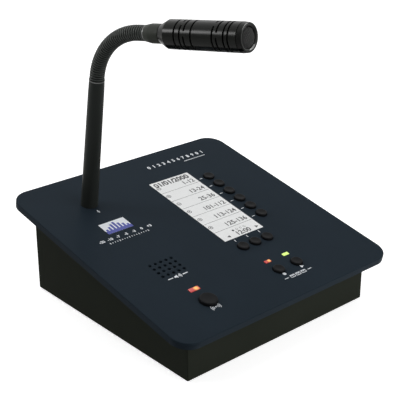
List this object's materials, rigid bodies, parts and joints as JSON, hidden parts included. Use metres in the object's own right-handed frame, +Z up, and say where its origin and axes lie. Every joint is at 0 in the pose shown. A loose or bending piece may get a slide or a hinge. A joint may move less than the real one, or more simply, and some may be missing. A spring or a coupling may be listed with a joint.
{
  "type": "paging console",
  "caption": "Desk paging console: a sloping metal panel with a screen, round keys and a loudspeaker on a wedge base, and a gooseneck microphone.",
  "frame": {"origin": "on the desk, under the middle of the console's box", "axes": "+X to the user's right, +Y to the rear, +Z up"},
  "size_m": [0.2, 0.197, 0.2283],
  "materials": {
    "panel_paint": "satin fine texture",
    "base_paint": "fine texture",
    "steel": "bright",
    "rubber": "matt",
    "window": "clear",
    "display": "pale, lit",
    "board": "satin",
    "black_plastic": "matt",
    "key_plastic": "satin",
    "red_lamp": "translucent",
    "green_lamp": "translucent",
    "cloth": "woven",
    "ferrite": "matt",
    "arm_paint": "satin",
    "pale_metal": "satin",
    "mesh": "woven",
    "ribbon": "satin"
  },
  "bodies": {
    "console": {"top_panel": "panel_paint", "base_housing": "base_paint", "bottom_plate": "base_paint", "bottom_screws": "steel", "rubber_feet": "rubber", "panel_nuts": "steel", "screen_window": "window", "lcd_module": "display", "control_board": "board", "board_standoffs": "steel", "board_screws": "steel", "tact_switches": "black_plastic", "talk_led": "red_lamp", "record_led": "red_lamp", "play_led": "green_lamp", "speaker_gauze": "cloth", "speaker_frame": "arm_paint", "speaker_cone": "cloth", "speaker_magnet": "ferrite", "main_board": "board", "main_standoffs": "steel", "main_screws": "steel", "network_socket": "steel", "ribbon_sockets": "black_plastic", "ribbon_cable": "ribbon", "mic_header": "black_plastic", "stem_cable": "rubber", "mic_stem": "arm_paint", "stem_ring": "pale_metal", "stem_washer": "steel", "stem_nut": "steel"},
    "zone_key_1": {"zone_button_1": "key_plastic"},
    "zone_key_2": {"zone_button_2": "key_plastic"},
    "zone_key_3": {"zone_button_3": "key_plastic"},
    "zone_key_4": {"zone_button_4": "key_plastic"},
    "zone_key_5": {"zone_button_5": "key_plastic"},
    "zone_key_6": {"zone_button_6": "key_plastic"},
    "page_key_1": {"page_button_1": "key_plastic"},
    "page_key_2": {"page_button_2": "key_plastic"},
    "page_key_3": {"page_button_3": "key_plastic"},
    "record_key": {"record_button": "key_plastic"},
    "play_key": {"play_button": "key_plastic"},
    "talk_key": {"talk_button": "key_plastic"},
    "neck": {"gooseneck": "arm_paint", "neck_cable": "rubber"},
    "mic": {"neck_ring": "pale_metal", "mic_collar": "arm_paint", "mic_body": "arm_paint", "mic_front_ring": "arm_paint", "mic_grille": "mesh", "slot_lining": "cloth", "mic_preamp": "board", "capsule_mount": "rubber", "mic_capsule": "pale_metal", "head_cable": "rubber"}
  },
  "joints": [
    {"name": "zone_key_1_press", "type": "slide", "parent": "console", "child": "zone_key_1", "axis": [0, 0.1959, -0.9806], "range_m": [0, 0.0012], "stiffness_N_per_m": 900, "springref_m": -0.0004},
    {"name": "zone_key_2_press", "type": "slide", "parent": "console", "child": "zone_key_2", "axis": [0, 0.1959, -0.9806], "range_m": [0, 0.0012], "stiffness_N_per_m": 900, "springref_m": -0.0004},
    {"name": "zone_key_3_press", "type": "slide", "parent": "console", "child": "zone_key_3", "axis": [0, 0.1959, -0.9806], "range_m": [0, 0.0012], "stiffness_N_per_m": 900, "springref_m": -0.0004},
    {"name": "zone_key_4_press", "type": "slide", "parent": "console", "child": "zone_key_4", "axis": [0, 0.1959, -0.9806], "range_m": [0, 0.0012], "stiffness_N_per_m": 900, "springref_m": -0.0004},
    {"name": "zone_key_5_press", "type": "slide", "parent": "console", "child": "zone_key_5", "axis": [0, 0.1959, -0.9806], "range_m": [0, 0.0012], "stiffness_N_per_m": 900, "springref_m": -0.0004},
    {"name": "zone_key_6_press", "type": "slide", "parent": "console", "child": "zone_key_6", "axis": [0, 0.1959, -0.9806], "range_m": [0, 0.0012], "stiffness_N_per_m": 900, "springref_m": -0.0004},
    {"name": "page_key_1_press", "type": "slide", "parent": "console", "child": "page_key_1", "axis": [0, 0.1959, -0.9806], "range_m": [0, 0.0012], "stiffness_N_per_m": 900, "springref_m": -0.0004},
    {"name": "page_key_2_press", "type": "slide", "parent": "console", "child": "page_key_2", "axis": [0, 0.1959, -0.9806], "range_m": [0, 0.0012], "stiffness_N_per_m": 900, "springref_m": -0.0004},
    {"name": "page_key_3_press", "type": "slide", "parent": "console", "child": "page_key_3", "axis": [0, 0.1959, -0.9806], "range_m": [0, 0.0012], "stiffness_N_per_m": 900, "springref_m": -0.0004},
    {"name": "record_key_press", "type": "slide", "parent": "console", "child": "record_key", "axis": [0, 0.1959, -0.9806], "range_m": [0, 0.0012], "stiffness_N_per_m": 900, "springref_m": -0.0004},
    {"name": "play_key_press", "type": "slide", "parent": "console", "child": "play_key", "axis": [0, 0.1959, -0.9806], "range_m": [0, 0.0012], "stiffness_N_per_m": 900, "springref_m": -0.0004},
    {"name": "talk_key_press", "type": "slide", "parent": "console", "child": "talk_key", "axis": [0, 0.1959, -0.9806], "range_m": [0, 0.0012], "stiffness_N_per_m": 900, "springref_m": -0.0004},
    {"name": "neck_bend", "type": "hinge", "parent": "console", "child": "neck", "pos_m": [-0.05741, 0.03549, 0.18498], "axis": [0.9778, 0.1985, 0.0675], "range_deg": [-40, 35], "deforming": ["gooseneck", "neck_cable"]},
    {"name": "head_turn", "type": "hinge", "parent": "neck", "child": "mic", "pos_m": [-0.05448, 0.01431, 0.20487], "axis": [-0.144, 0.4013, 0.9046], "range_deg": [-40, 40], "deforming": ["gooseneck", "neck_cable"]}
  ]
}
